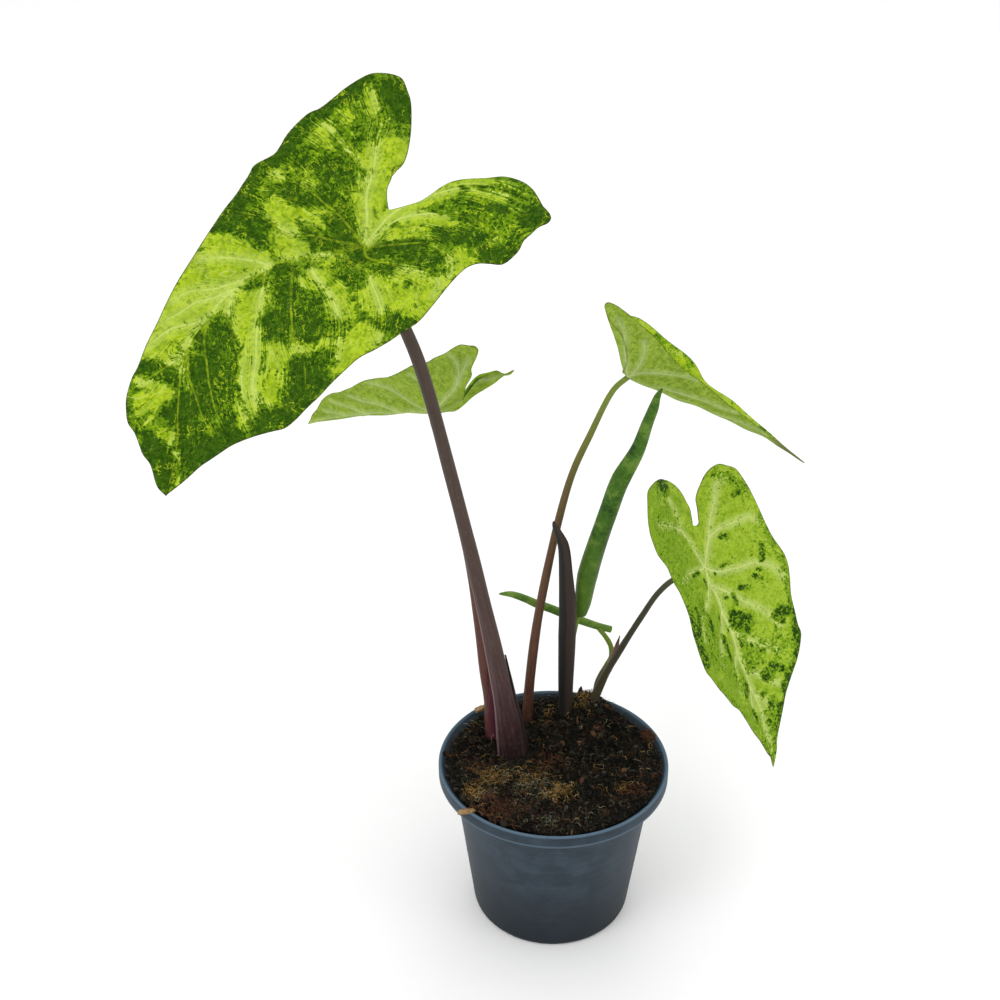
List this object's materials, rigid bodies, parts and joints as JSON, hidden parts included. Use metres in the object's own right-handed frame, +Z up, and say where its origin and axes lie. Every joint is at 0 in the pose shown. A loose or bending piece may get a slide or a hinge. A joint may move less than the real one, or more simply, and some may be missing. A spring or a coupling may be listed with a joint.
{
  "type": "potted house plant",
  "caption": "Potted foliage plant with splashed arrow-shaped leaves on bare upright stalks, rolled young leaves, dark sheaths and a tapered nursery pot full of mix.",
  "frame": {"origin": "centre of the underside of the pot's base", "axes": "+Z up along the pot's axis, -Y towards the viewer of the picture, +X to the viewer's right"},
  "size_m": [0.2657, 0.1906, 0.3872],
  "materials": {
    "pot_plastic": "satin",
    "mix": "matte",
    "corm": "matte",
    "stalk_purple": "satin",
    "stalk_red": "satin",
    "stalk_olive": "satin",
    "sheath": "satin",
    "leaf_face": "satin",
    "leaf_underside": "satin",
    "leaf_rolled": "satin",
    "bark": "matte"
  },
  "bodies": {
    "root": {"pot": "pot_plastic", "potting_mix": "mix", "corm_main": "corm", "corm_second": "corm", "petiole_1": "stalk_purple", "petiole_2": "stalk_red", "petiole_3": "stalk_red", "petiole_unfurling": "stalk_olive", "side_shoot": "stalk_olive", "sheath_dark": "sheath", "sheath_small": "sheath", "bud": "sheath", "leaf_1": "leaf_face", "leaf_2": "leaf_underside", "leaf_3": "leaf_underside", "leaf_4": "leaf_face", "leaf_unfurling": "leaf_rolled", "leaf_small_rolled": "leaf_rolled", "scrap_front": "bark", "scrap_back": "bark", "coir_tuft": "bark"}
  },
  "joints": []
}
